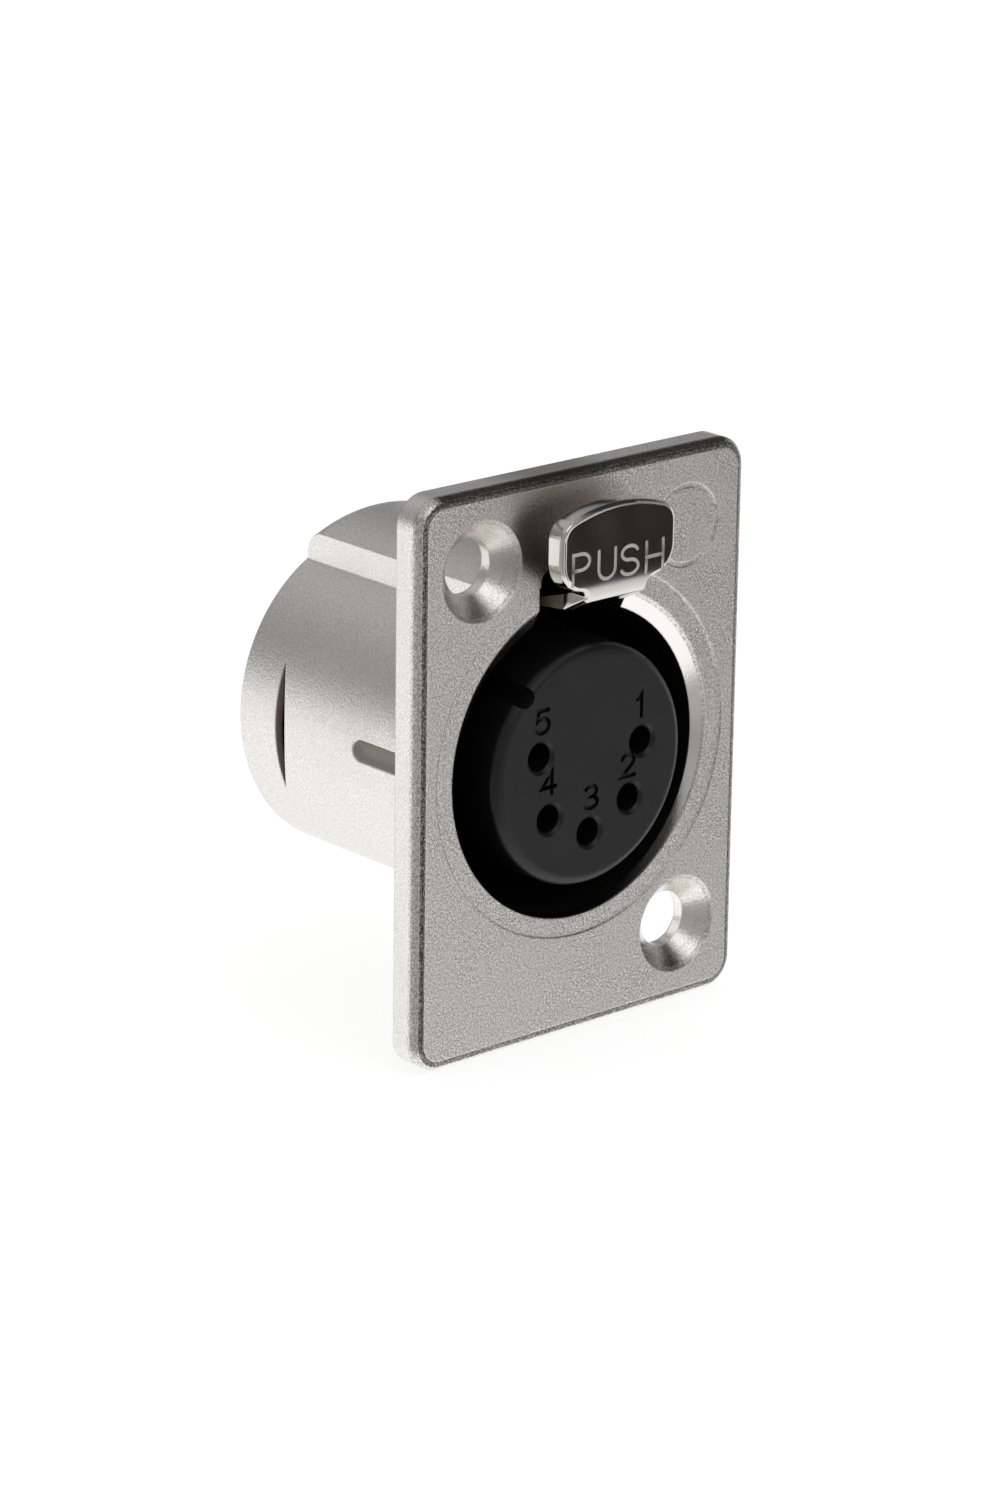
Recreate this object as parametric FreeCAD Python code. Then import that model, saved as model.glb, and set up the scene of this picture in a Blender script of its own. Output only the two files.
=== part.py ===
import FreeCAD, Part
import math
import os

os.makedirs("parts", exist_ok=True)

V = FreeCAD.Vector

# Five-contact panel socket of the circular audio pattern, in millimetres.
# The origin is the middle of the flange's back face, which seats on the panel.
# The socket faces -Y, the barrel runs back along +Y and +Z is up.
# A "depth" is measured back from the front face of the flange.

# Flange
flange_width = 26.0
flange_height = 35.5
flange_thickness = 2.1
flange_corner_r = 1.9
flange_edge_r = 0.55
screw_half_x = 8.2
screw_half_z = 12.8
screw_hole_r = 1.75
countersink_r = 3.1
mark_ring_r = 2.63
mark_ring_width = 0.3
mark_ring_depth = 0.1

# Mouth and bore
mouth_r = 10.4
mouth_depth = 0.75
mouth_land_r = 11.56
mouth_land_depth = 0.1
bore_drop = 0.6
bore_r = 9.6
plug_depth = 12.4
web_r = 8.1
web_thickness = 1.2
pocket_r = 9.0

# Barrel
barrel_r = 10.3
barrel_drop = 0.4
barrel_depth = 20.3
barrel_edge = 0.3
notch_depth = 16.6
notch_cut = 0.87
notch_ramp = 0.95
groove_z = 0.1
groove_cutter_r = 1.0
groove_end_depth = 9.3
groove_cut = 0.35

# Raised housing of the latch on top of the barrel
sector_r = 11.95
sector_half_width = 5.0
sector_depth = 19.9
sector_round = 1.3
roof = 0.6
channel_half_width = 3.55
channel_floor_z = 7.2
channel_end_wall = 1.3
slot_top_z = 12.0
slot_back_z = 10.9
slot_corner_r = 0.7

# Sliding fits
side_gap = 0.35
pin_gap = 0.05
seat_gap = 0.05
contact_gap = 0.03
contact_recess = 0.55

# Push latch
push_back = 1.1
push_lift = 0.55
tab_front = 2.95
tab_thickness = 1.23
tab_half_width = 4.55
tab_top_z = 16.28
tab_bottom_z = 11.2
tab_bow = 0.95
tab_top_r = 1.3
tab_bottom_r = 1.9
tab_edge_r = 0.32
neck_half_width = 2.45
neck_fillet_r = 0.5
neck_end_depth = 2.35
face_bow_z = 12.2
face_bow_r = 8.6
face_bow_angle = 10.0
bend_r = 0.45
knee_depth = -1.4
knee_z = 9.72
bend_inner_depth = -1.1
bend_inner_z = 10.68
arm_bottom_z = 9.3
arm_top_z = 9.8
arm_half_width = 2.6
arm_start_depth = 1.8
tooth_start_depth = 3.1
tooth_end_depth = 5.6
tooth_tip_z = 8.4
tooth_half_width = 1.9
tail_start_depth = 12.6
tail_bottom_z = 7.55
tail_top_z = 9.9
tail_half_width = 1.8
tail_wall = 0.45
guide_pin_r = 0.45
guide_pin_z = 9.05
guide_pin_wall = 0.5
guide_pin_sunk = 0.3

# Latch spring
spring_outer_r = 0.85
spring_wire_r = 0.15
spring_turns = 4.0
spring_z = 9.25
spigot_r = 0.45
spigot_length = 0.9

# Contact carrier, front and rear halves
insert_r = 7.55
insert_proud = 0.8
insert_edge_r = 0.7
insert_flange_r = 8.85
insert_flange_thickness = 1.95
keyway_angle = 135.0
keyway_r = 0.68
keyway_cut = 0.72
clamp_thickness = 3.4
clamp_boss_r = 1.75
clamp_boss_height = 0.9

# Contacts, numbered as on the face of the insert, angles from straight down
contact_angles = (100.0, 50.0, 0.0, -50.0, -108.0)
contact_circle_r = 4.24
pin_entry_r = 0.88
pin_entry_length = 2.0
pin_entry_chamfer = 0.22
contact_body_r = 1.3
contact_bore_r = 0.82
contact_bore_length = 8.0
contact_slit = 0.35
contact_slit_length = 6.0
collar_r = 1.6
collar_thickness = 0.9
tail_r = 1.2
cup_end_depth = 25.0
cup_bore_r = 0.97
cup_length = 3.4
cup_open_length = 2.2

# Earth contact between the plug's shell and its own solder tag
earth_angle = 30.0
earth_width = 1.6
earth_strip = 0.3
earth_front_depth = 3.2
earth_seat_r = 9.95
earth_bump_r = 9.2
earth_bump_depth = 6.6
earth_tag_depth = 24.0
earth_tag_eye_r = 0.45
earth_slot_gap = 0.15

# Snap ring behind the carrier
ring_wire = 0.7
ring_inner_r = 8.3
ring_outer_r = 9.4
ring_open_angle = 100.0

face_y = -flange_thickness
bore_axis = V(0, 0, -bore_drop)
barrel_axis = V(0, 0, -barrel_drop)
backwards = V(0, 1, 0)
reach = 4.0 * flange_height

channel_end_depth = sector_depth - channel_end_wall
web_depth = plug_depth + web_thickness
insert_back_depth = web_depth + seat_gap + insert_flange_thickness
clamp_depth = insert_back_depth + seat_gap
clamp_back_depth = clamp_depth + clamp_thickness
ring_depth = clamp_back_depth + seat_gap
collar_depth = clamp_depth + contact_gap
guide_slot_r = guide_pin_r + pin_gap
guide_pin_depth = tail_start_depth + tail_wall + guide_slot_r + push_back
tail_end_depth = guide_pin_depth + guide_slot_r + tail_wall


def at(depth, x=0.0, z=0.0):
    return V(x, face_y + depth, z)


def cylinder(radius, start_depth, end_depth, axis=V(0, 0, 0)):
    return Part.makeCylinder(radius, end_depth - start_depth, at(start_depth, axis.x, axis.z), backwards)


def prism(points, direction):
    return Part.Face(Part.makePolygon(points + [points[0]])).extrude(direction)


def slab(half_width, start_depth, end_depth, low_z, high_z):
    corner = at(start_depth, -half_width, low_z)
    return Part.makeBox(2 * half_width, end_depth - start_depth, high_z - low_z, corner)


def revolve_about(profile, axis):
    """Turn a closed outline of (radius, depth) points about a bore-wise axis."""
    points = [at(depth, axis.x + radius, axis.z) for radius, depth in profile]
    face = Part.Face(Part.makePolygon(points + [points[0]]))
    return face.revolve(V(axis.x, 0, axis.z), backwards, 360)


def contact_axis(index):
    angle = math.radians(contact_angles[index])
    return bore_axis + V(contact_circle_r * math.sin(angle), 0, -contact_circle_r * math.cos(angle))


def flange_plate():
    half_x = flange_width / 2
    half_z = flange_height / 2
    plate = slab(half_x, 0, flange_thickness, -half_z, half_z)
    uprights = [edge for edge in plate.Edges if edge.BoundBox.YLength > flange_thickness / 2]
    plate = plate.makeFillet(flange_corner_r, uprights)
    rim = [edge for edge in plate.Edges if edge.BoundBox.YMax < face_y + flange_thickness / 4]
    return plate.makeFillet(flange_edge_r, rim)


def barrel_shell():
    shell = revolve_about(
        [
            (0, flange_thickness / 2),
            (barrel_r, flange_thickness / 2),
            (barrel_r, barrel_depth - barrel_edge),
            (barrel_r - barrel_edge, barrel_depth),
            (0, barrel_depth),
        ],
        barrel_axis,
    )
    return shell


def latch_sector():
    """The raised top of the barrel: a slice of a larger cylinder with its rear edge rounded."""
    roll = cylinder(sector_r, flange_thickness / 2, sector_depth, barrel_axis)
    slice_box = slab(sector_half_width, 0, sector_depth, 0, sector_r)
    sector = roll.common(slice_box)
    rear_arc = [
        edge
        for edge in sector.Edges
        if edge.BoundBox.YMin > face_y + sector_depth - 0.01 and edge.CenterOfMass.z > sector_r * 0.8
    ]
    return sector.makeFillet(sector_round, rear_arc)


def screw_hole(side_x, side_z):
    through = cylinder(screw_hole_r, -1, flange_thickness + 1, V(side_x, 0, side_z))
    cone_depth = countersink_r - screw_hole_r
    cone = Part.makeCone(countersink_r, screw_hole_r, cone_depth, at(0, side_x, side_z), backwards)
    return through.fuse(cone)


def mouth_funnel():
    """The lead-in runs from the mouth, centred on the flange, to the lower bore axis."""
    outer = Part.Wire(Part.Circle(at(0), backwards, mouth_r).toShape())
    inner = Part.Wire(Part.Circle(at(mouth_depth) + bore_axis, backwards, bore_r).toShape())
    return Part.makeLoft([outer, inner], True, True)


def mark_ring():
    centre = at(0, screw_half_x, screw_half_z)
    outer = Part.makeCylinder(mark_ring_r, mark_ring_depth, centre, backwards)
    inner = Part.makeCylinder(mark_ring_r - mark_ring_width, mark_ring_depth, centre, backwards)
    return outer.cut(inner)


def side_notch(side):
    """A ramp that deepens towards the back and ends in a wall square to the barrel."""
    surface_x = barrel_r + 0.05
    floor_x = barrel_r - notch_cut
    outside_x = barrel_r + 2.0
    points = [
        at(notch_depth - notch_ramp, side * surface_x, -reach / 2),
        at(notch_depth, side * floor_x, -reach / 2),
        at(notch_depth, side * outside_x, -reach / 2),
        at(notch_depth - notch_ramp, side * outside_x, -reach / 2),
    ]
    return prism(points, V(0, 0, reach))


def side_groove(side):
    """A shallow round-bottomed groove with a round end, running back from the flange."""
    centre_x = side * (barrel_r - groove_cut + groove_cutter_r)
    half_width = math.sqrt(groove_cutter_r ** 2 - (groove_cutter_r - groove_cut) ** 2)
    end = groove_end_depth - half_width
    run = cylinder(groove_cutter_r, flange_thickness, end, V(centre_x, 0, groove_z))
    return run.fuse(Part.makeSphere(groove_cutter_r, at(end, centre_x, groove_z)))


def latch_channel():
    """The room of the latch arm under the sector's roof, and its taller slot in the flange."""
    roof_r = sector_r - roof
    roll = cylinder(roof_r, flange_thickness, channel_end_depth, barrel_axis)
    front_part = roll.common(slab(channel_half_width, 0, web_depth, 0, reach))
    rear_part = roll.common(slab(channel_half_width, plug_depth, channel_end_depth, channel_floor_z, reach))
    left = -channel_half_width
    slot_side = [
        at(-1, left, 0),
        at(flange_thickness, left, 0),
        at(flange_thickness, left, slot_back_z),
        at(0, left, slot_top_z),
        at(-1, left, slot_top_z),
    ]
    slot = prism(slot_side, V(2 * channel_half_width, 0, 0))
    top_corners = [
        edge
        for edge in slot.Edges
        if edge.BoundBox.YLength > 0.5 and edge.CenterOfMass.z > slot_back_z
    ]
    slot = slot.makeFillet(slot_corner_r, top_corners)
    return front_part.fuse([rear_part, slot])


def guide_pin_hole():
    """Open at the right side of the sector and blind at the left."""
    start_x = -(sector_half_width - guide_pin_wall)
    base = at(guide_pin_depth, start_x, guide_pin_z)
    return Part.makeCylinder(guide_pin_r, sector_half_width - start_x + 1, base, V(1, 0, 0))


def earth_frame(shape):
    """Turn a shape drawn at the top of the bore to the earth contact's place."""
    turned = shape.copy()
    turned.rotate(bore_axis, backwards, earth_angle)
    return turned


def earth_slot():
    """A pocket beside the latch channel, open to the bore in front and a tunnel behind it."""
    top_z = bore_axis.z + earth_seat_r
    low_z = top_z - earth_strip - 2 * seat_gap
    half = earth_width / 2 + earth_slot_gap
    start = earth_front_depth - earth_slot_gap
    return earth_frame(slab(half, start, barrel_depth + 1, low_z, top_z))


def ring_groove():
    outer = cylinder(ring_outer_r + seat_gap, ring_depth, ring_depth + ring_wire + seat_gap, bore_axis)
    return outer


def make_housing():
    body = flange_plate().fuse([barrel_shell(), latch_sector()])
    bore = cylinder(bore_r, mouth_depth, plug_depth, bore_axis)
    web_hole = cylinder(web_r, plug_depth - 1, web_depth + 1, bore_axis)
    pocket = cylinder(pocket_r, web_depth, barrel_depth + 1, bore_axis)
    land = cylinder(mouth_land_r, 0, mouth_land_depth)
    cuts = [mouth_funnel(), bore, web_hole, pocket, land, mark_ring(), latch_channel(), guide_pin_hole()]
    cuts += [earth_slot(), ring_groove()]
    cuts += [screw_hole(-screw_half_x, screw_half_z), screw_hole(screw_half_x, -screw_half_z)]
    for side in (-1, 1):
        cuts += [side_notch(side), side_groove(side)]
    for tool in cuts:
        body = body.cut(tool)
    return body.removeSplitter()


def arc_in(centre, radius, start, end, place):
    """An arc from one angle to another, in degrees, placed by a function of its two coordinates."""
    angles = [math.radians(angle) for angle in (start, (start + end) / 2, end)]
    points = [(centre[0] + radius * math.cos(a), centre[1] + radius * math.sin(a)) for a in angles]
    return Part.Arc(*[place(*point) for point in points]).toShape()


def right_half_of_front():
    """Front outline of tab and neck: straight side, round corner and a fillet into the neck."""
    corner = (tab_half_width - tab_bottom_r, tab_bottom_z + tab_bottom_r)
    apart = tab_bottom_r + neck_fillet_r
    step = neck_half_width + neck_fillet_r - corner[0]
    drop = math.sqrt(apart ** 2 - step ** 2)
    fillet = (neck_half_width + neck_fillet_r, corner[1] - drop)
    turn = math.degrees(math.asin(step / apart))
    front = -tab_front - 1

    def place(x, z):
        return at(front, x, z)

    def line(start, end):
        return Part.LineSegment(place(*start), place(*end)).toShape()

    side_top = (tab_half_width, tab_top_z - tab_bow)
    neck_end = (neck_half_width, arm_bottom_z - 1)
    return [
        line(side_top, (tab_half_width, corner[1])),
        arc_in(corner, tab_bottom_r, 0, turn - 90, place),
        arc_in(fillet, neck_fillet_r, 90 + turn, 180, place),
        line((neck_half_width, fillet[1]), neck_end),
    ]


def front_outline():
    """A badge-shaped tab with a bowed top, drawn in to the neck below."""
    right = right_half_of_front()
    left = [edge.mirror(V(0, 0, 0), V(1, 0, 0)) for edge in right]
    front = -tab_front - 1
    side_z = tab_top_z - tab_bow
    corners = [at(front, side * tab_half_width, side_z) for side in (1, -1)]
    bow = Part.Arc(corners[0], at(front, 0, tab_top_z), corners[1]).toShape()
    ends = [at(front, side * neck_half_width, arm_bottom_z - 1) for side in (-1, 1)]
    base = Part.LineSegment(*ends).toShape()
    wire = Part.Wire(Part.__sortEdges__(right + left + [bow, base]))
    return Part.Face(wire).extrude(V(0, neck_end_depth + tab_front + 2, 0))


def side_outline():
    """Side view of tab and swan neck: the tab rolls under and runs back through the slot."""
    front = -tab_front
    back = front + tab_thickness
    high = tab_top_z + 1
    bow = math.radians(face_bow_angle)
    bow_centre = (front + face_bow_r, face_bow_z)
    inset = face_bow_r - bend_r
    centre = (bow_centre[0] - inset * math.cos(bow), bow_centre[1] - inset * math.sin(bow))
    away = (knee_depth - centre[0], centre[1] - knee_z)
    slope = math.acos(bend_r / math.hypot(*away)) - math.atan2(*away)
    under_start = (centre[0] - bend_r * math.sin(slope), centre[1] - bend_r * math.cos(slope))

    def place(depth, z):
        return at(depth, -tab_half_width - 1, z)

    def line(start, end):
        return Part.LineSegment(place(*start), place(*end)).toShape()

    corners = [
        under_start,
        (knee_depth, knee_z),
        (neck_end_depth, arm_bottom_z),
        (neck_end_depth, arm_top_z),
        (arm_start_depth, arm_top_z),
        (bend_inner_depth, bend_inner_z),
        (back, bend_inner_z + bend_r),
        (back, high),
        (front, high),
        (front, face_bow_z),
    ]
    edges = [line(*pair) for pair in zip(corners, corners[1:])]
    edges.append(arc_in(bow_centre, face_bow_r, 180, 180 + face_bow_angle, place))
    edges.append(arc_in(centre, bend_r, 180 + face_bow_angle, 270 - math.degrees(slope), place))
    return Part.Face(Part.Wire(Part.__sortEdges__(edges))).extrude(V(2 * tab_half_width + 2, 0, 0))


def latch_tab():
    """Tab and neck as one bent piece, with a soft front rim."""
    piece = side_outline().common(front_outline())
    top_corners = [
        edge
        for edge in piece.Edges
        if edge.BoundBox.YLength > tab_thickness / 2
        and edge.BoundBox.XLength < 0.01
        and abs(edge.CenterOfMass.z - tab_top_z + tab_bow) < 0.01
    ]
    piece = piece.makeFillet(tab_top_r, top_corners)
    rim = [edge for edge in piece.Edges if edge.BoundBox.YMax < face_y - tab_front + 0.01]
    return piece.makeFillet(tab_edge_r, rim)


def latch_arm():
    """A flat arm whose front shoulders are drawn in to the neck."""
    half_outline = [
        (neck_half_width, arm_start_depth),
        (arm_half_width, tooth_start_depth),
        (arm_half_width, tail_start_depth - 1.2),
        (tail_half_width, tail_start_depth),
    ]
    right = [at(depth, x, arm_bottom_z) for x, depth in half_outline]
    left = [at(depth, -x, arm_bottom_z) for x, depth in reversed(half_outline)]
    return prism(right + left, V(0, 0, arm_top_z - arm_bottom_z))


def latch_tooth():
    """The catch: a ramp at the front that the plug lifts, and a square back that holds it."""
    points = [
        at(tooth_start_depth, -tooth_half_width, arm_bottom_z + 0.1),
        at(tooth_end_depth - 0.7, -tooth_half_width, tooth_tip_z),
        at(tooth_end_depth, -tooth_half_width, tooth_tip_z),
        at(tooth_end_depth, -tooth_half_width, arm_bottom_z + 0.1),
    ]
    return prism(points, V(2 * tooth_half_width, 0, 0))


def guide_slot():
    """An inclined slot: the latch climbs by push_lift while it moves back by push_back."""
    length = math.hypot(push_back, push_lift)
    along = V(0, push_back / length, push_lift / length)
    across = V(0, -along.z, along.y)
    upper = at(guide_pin_depth, -reach / 2, guide_pin_z)
    lower = upper - along * length
    width = V(reach, 0, 0)
    ends = [Part.makeCylinder(guide_slot_r, reach, point, V(1, 0, 0)) for point in (upper, lower)]
    web = prism([lower + across * guide_slot_r, upper + across * guide_slot_r,
                 upper - across * guide_slot_r, lower - across * guide_slot_r], width)
    return web.fuse(ends)


def latch_tail():
    block = slab(tail_half_width, tail_start_depth, tail_end_depth, tail_bottom_z, tail_top_z)
    spigot = cylinder(spigot_r, tail_end_depth - 0.1, tail_end_depth + spigot_length, V(0, 0, spring_z))
    return block.fuse(spigot)


def make_latch():
    latch = latch_tab().fuse([latch_arm(), latch_tooth(), latch_tail()])
    return latch.cut(guide_slot()).removeSplitter()


def make_guide_pin():
    start_x = -(sector_half_width - guide_pin_wall)
    base = at(guide_pin_depth, start_x, guide_pin_z)
    end_x = sector_half_width - guide_pin_sunk
    return Part.makeCylinder(guide_pin_r, end_x - start_x, base, V(1, 0, 0))


def make_spring():
    """A helix between the latch tail and the end wall of the channel, swept half a turn at a time."""
    coil_r = spring_outer_r - spring_wire_r
    start = tail_end_depth + spring_wire_r
    length = channel_end_depth - spring_wire_r - start
    pitch = length / spring_turns
    pieces = math.ceil(2 * spring_turns)
    rise = length / pieces
    edges = []
    for index in range(pieces):
        edge = Part.makeHelix(pitch, rise, coil_r).Edges[0]
        edge.rotate(V(0, 0, 0), V(0, 0, 1), 360 * spring_turns / pieces * index)
        edge.translate(V(0, 0, rise * index))
        edges.append(edge)
    lead = math.atan2(pitch, 2 * math.pi * coil_r)
    along = V(0, math.cos(lead), math.sin(lead))
    section = Part.Wire(Part.Circle(V(coil_r, 0, 0), along, spring_wire_r).toShape())
    coil = Part.Wire(edges).makePipeShell([section], True, True)
    coil.rotate(V(0, 0, 0), V(1, 0, 0), -90)
    coil.translate(at(start, 0, spring_z))
    return coil


def keyway():
    """The round-bottomed polarising groove along the carrier's side."""
    slot = cylinder(keyway_r, -insert_proud - 1, plug_depth - 1.5, V(0, 0, insert_r - keyway_cut + keyway_r))
    mouth = slab(keyway_r, -insert_proud - 1, plug_depth - 1.5, insert_r - keyway_cut + keyway_r, reach)
    slot = slot.fuse(mouth)
    slot.translate(bore_axis)
    slot.rotate(bore_axis, backwards, 90.0 - keyway_angle)
    return slot


def tail_clearance(start_depth, end_depth):
    """The flat cut at the top that leaves room for the latch tail and its spring."""
    return slab(channel_half_width, start_depth, end_depth, channel_floor_z - side_gap, reach)


def pin_entry(index):
    axis = contact_axis(index)
    front = -insert_proud
    mouth = front + pin_entry_chamfer
    flare_r = pin_entry_r + pin_entry_chamfer
    hole = cylinder(pin_entry_r, front - 0.5, front + pin_entry_length + 0.5, axis)
    flare = Part.makeCone(flare_r, pin_entry_r, mouth - front, at(front) + axis, backwards)
    chamber = cylinder(contact_body_r + contact_gap, front + pin_entry_length, clamp_depth, axis)
    return hole.fuse([flare, chamber])


def make_insert_front():
    front = -insert_proud
    body = cylinder(insert_r, front, web_depth + seat_gap, bore_axis)
    front_edge = [edge for edge in body.Edges if edge.BoundBox.YMax < face_y + front + 0.01]
    body = body.makeFillet(insert_edge_r, front_edge)
    flange = cylinder(insert_flange_r, web_depth + seat_gap, insert_back_depth, bore_axis)
    body = body.fuse(flange).cut(keyway())
    body = body.cut(tail_clearance(web_depth, insert_back_depth + 1))
    for index in range(len(contact_angles)):
        body = body.cut(pin_entry(index))
    return body.removeSplitter()


def make_insert_rear():
    """Clamps the collars of the contacts against the front carrier."""
    disc = cylinder(insert_flange_r, clamp_depth, clamp_back_depth, bore_axis)
    disc = disc.cut(tail_clearance(clamp_depth - 1, clamp_back_depth + 1))
    for index in range(len(contact_angles)):
        boss_end = clamp_back_depth + clamp_boss_height
        disc = disc.fuse(cylinder(clamp_boss_r, clamp_back_depth - 0.5, boss_end, contact_axis(index)))
    for index in range(len(contact_angles)):
        axis = contact_axis(index)
        collar_end = collar_depth + collar_thickness + contact_gap
        seat = cylinder(collar_r + contact_gap, clamp_depth, collar_end, axis)
        hole = cylinder(tail_r + contact_gap, clamp_depth, barrel_depth + 5, axis)
        disc = disc.cut(seat.fuse(hole))
    return disc.removeSplitter()


def make_contact(index):
    """A turned socket: slotted sleeve in front, collar, and a solder cup open to one side."""
    axis = contact_axis(index)
    front = pin_entry_length - insert_proud + contact_recess
    collar_end = collar_depth + collar_thickness
    body = revolve_about(
        [
            (0, front),
            (contact_body_r - 0.2, front),
            (contact_body_r, front + 0.4),
            (contact_body_r, collar_depth),
            (collar_r, collar_depth),
            (collar_r, collar_end),
            (tail_r, collar_end),
            (tail_r, cup_end_depth - 0.2),
            (tail_r - 0.15, cup_end_depth),
            (0, cup_end_depth),
        ],
        axis,
    )
    pin_bore = cylinder(contact_bore_r, front - 1, front + contact_bore_length, axis)
    cup_bore = cylinder(cup_bore_r, cup_end_depth - cup_length, cup_end_depth + 1, axis)
    half = contact_slit / 2
    slit_end = front + contact_slit_length
    slit = slab(half, front - 1, slit_end, -2 * contact_body_r, 2 * contact_body_r)
    slit.translate(axis)
    cup_window = slab(tail_r * 2, cup_end_depth - cup_open_length, cup_end_depth + 1, 0.1, 2 * tail_r)
    cup_window.translate(axis)
    return body.cut(pin_bore).cut(cup_bore).cut(slit).cut(cup_window)


def make_earth_contact():
    """One stamped strip: a sprung bump in the bore and a solder tag behind the barrel."""
    top = bore_axis.z + earth_seat_r - seat_gap
    low = top - earth_strip
    bump_z = bore_axis.z + earth_bump_r
    half = earth_width / 2
    rise = earth_bump_depth - 1.6
    fall = earth_bump_depth + 1.6
    path = [
        (earth_front_depth, top), (rise - 0.6, top), (earth_bump_depth, bump_z + earth_strip),
        (fall + 0.6, top), (earth_tag_depth, top),
        (earth_tag_depth, low), (fall + 0.75, low), (earth_bump_depth, bump_z - 0.02),
        (rise - 0.75, low), (earth_front_depth, low),
    ]
    points = [at(depth, -half, z) for depth, z in path]
    strip = prism(points, V(2 * half, 0, 0))
    eye_centre = at(earth_tag_depth - 1.2, 0, low - 1)
    eye = Part.makeCylinder(earth_tag_eye_r, 3, eye_centre, V(0, 0, 1))
    return earth_frame(strip.cut(eye))


def make_snap_ring():
    """An open ring sprung into the groove, with its gap at the top beside the latch channel."""
    front = ring_depth + seat_gap / 2
    outer = cylinder(ring_outer_r, front, front + ring_wire, bore_axis)
    inner = cylinder(ring_inner_r, ring_depth - 1, ring_depth + ring_wire + 1, bore_axis)
    ring = outer.cut(inner)
    half = math.radians(ring_open_angle / 2)
    wedge = prism(
        [
            at(ring_depth - 1) + bore_axis,
            at(ring_depth - 1, -reach * math.sin(half), reach * math.cos(half)) + bore_axis,
            at(ring_depth - 1, reach * math.sin(half), reach * math.cos(half)) + bore_axis,
        ],
        V(0, ring_wire + 3, 0),
    )
    return ring.cut(wedge)


def main():
    nodes = {
        "housing": make_housing(),
        "push_latch": make_latch(),
        "latch_guide_pin": make_guide_pin(),
        "latch_spring": make_spring(),
        "contact_carrier": make_insert_front(),
        "contact_clamp": make_insert_rear(),
        "earth_contact": make_earth_contact(),
        "snap_ring": make_snap_ring(),
    }
    for index in range(len(contact_angles)):
        nodes["contact_%d" % (index + 1)] = make_contact(index)
    for name, shape in nodes.items():
        solids = len(shape.Solids)
        print(name, "solids", solids, "valid", shape.isValid(), "volume", round(shape.Volume, 2))
        shape.exportStep("parts/%s.step" % name)


main()
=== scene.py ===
import math

import bmesh
import bpy
from mathutils import Matrix, Vector


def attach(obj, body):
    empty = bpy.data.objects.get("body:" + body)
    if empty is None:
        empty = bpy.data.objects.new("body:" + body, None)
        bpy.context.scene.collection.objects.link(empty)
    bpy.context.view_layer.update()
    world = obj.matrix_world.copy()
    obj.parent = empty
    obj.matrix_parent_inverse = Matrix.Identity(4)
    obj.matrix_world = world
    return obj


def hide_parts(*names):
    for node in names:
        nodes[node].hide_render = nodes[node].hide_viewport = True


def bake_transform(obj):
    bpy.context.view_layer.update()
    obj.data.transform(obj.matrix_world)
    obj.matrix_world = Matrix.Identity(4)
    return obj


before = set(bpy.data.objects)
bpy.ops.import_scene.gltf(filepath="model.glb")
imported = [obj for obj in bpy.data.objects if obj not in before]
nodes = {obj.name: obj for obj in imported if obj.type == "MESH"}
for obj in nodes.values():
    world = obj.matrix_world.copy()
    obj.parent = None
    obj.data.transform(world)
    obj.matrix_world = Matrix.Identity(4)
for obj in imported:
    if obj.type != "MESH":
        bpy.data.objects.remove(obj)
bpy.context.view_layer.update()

millimetre = 0.001


def addObject(name, data):
    thing = bpy.data.objects.new(name, data)
    bpy.context.scene.collection.objects.link(thing)
    return thing


# small helpers for node trees

def newMaterial(name):
    material = bpy.data.materials.new(name)
    material.use_nodes = True
    tree = material.node_tree
    return material, tree, tree.nodes["Principled BSDF"]


def addNode(tree, kind, **settings):
    node = tree.nodes.new(kind)
    for key, value in settings.items():
        setattr(node, key, value)
    return node


def link(tree, source, target):
    tree.links.new(source, target)


def feed(tree, slot, value):
    # another node's output is linked, a plain value is set
    if isinstance(value, bpy.types.NodeSocket):
        link(tree, value, slot)
    else:
        slot.default_value = value


def calc(tree, operation, *values):
    node = addNode(tree, "ShaderNodeMath", operation=operation)
    for slot, value in zip(node.inputs, values):
        feed(tree, slot, value)
    return node.outputs[0]


def vectorNode(tree, operation, *values):
    node = addNode(tree, "ShaderNodeVectorMath", operation=operation)
    for slot, value in zip(node.inputs, values):
        feed(tree, slot, value)
    return node


def vectorCalc(tree, operation, *values):
    return vectorNode(tree, operation, *values).outputs["Vector"]


def vectorValue(tree, operation, *values):
    # a length, a distance or a dot product
    return vectorNode(tree, operation, *values).outputs["Value"]


def scaledVector(tree, vector, amount):
    node = vectorNode(tree, "SCALE", vector)
    feed(tree, node.inputs["Scale"], amount)
    return node.outputs["Vector"]


def remap(tree, value, source, target, smooth=False):
    # carries a value over from one range to another, and holds it at the ends
    kind = "SMOOTHSTEP" if smooth else "LINEAR"
    node = addNode(tree, "ShaderNodeMapRange", interpolation_type=kind)
    labels = ("Value", "From Min", "From Max", "To Min", "To Max")
    for label, setting in zip(labels, (value, *source, *target)):
        feed(tree, node.inputs[label], setting)
    return node.outputs["Result"]


def blend(tree, kind, factor, first, second):
    mix = addNode(tree, "ShaderNodeMix", data_type=kind)
    for label, value in (("Factor", factor), ("A", first), ("B", second)):
        feed(tree, mix.inputs[label], value)
    return mix.outputs["Result"]


def blendColor(tree, factor, first, second):
    return blend(tree, "RGBA", factor, first, second)


def allOf(tree, mask, *others):
    # 1 only where every mask is 1
    for other in others:
        mask = calc(tree, "MULTIPLY", mask, other)
    return mask


def between(tree, value, low, high):
    above = calc(tree, "GREATER_THAN", value, low)
    return allOf(tree, above, calc(tree, "LESS_THAN", value, high))


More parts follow.
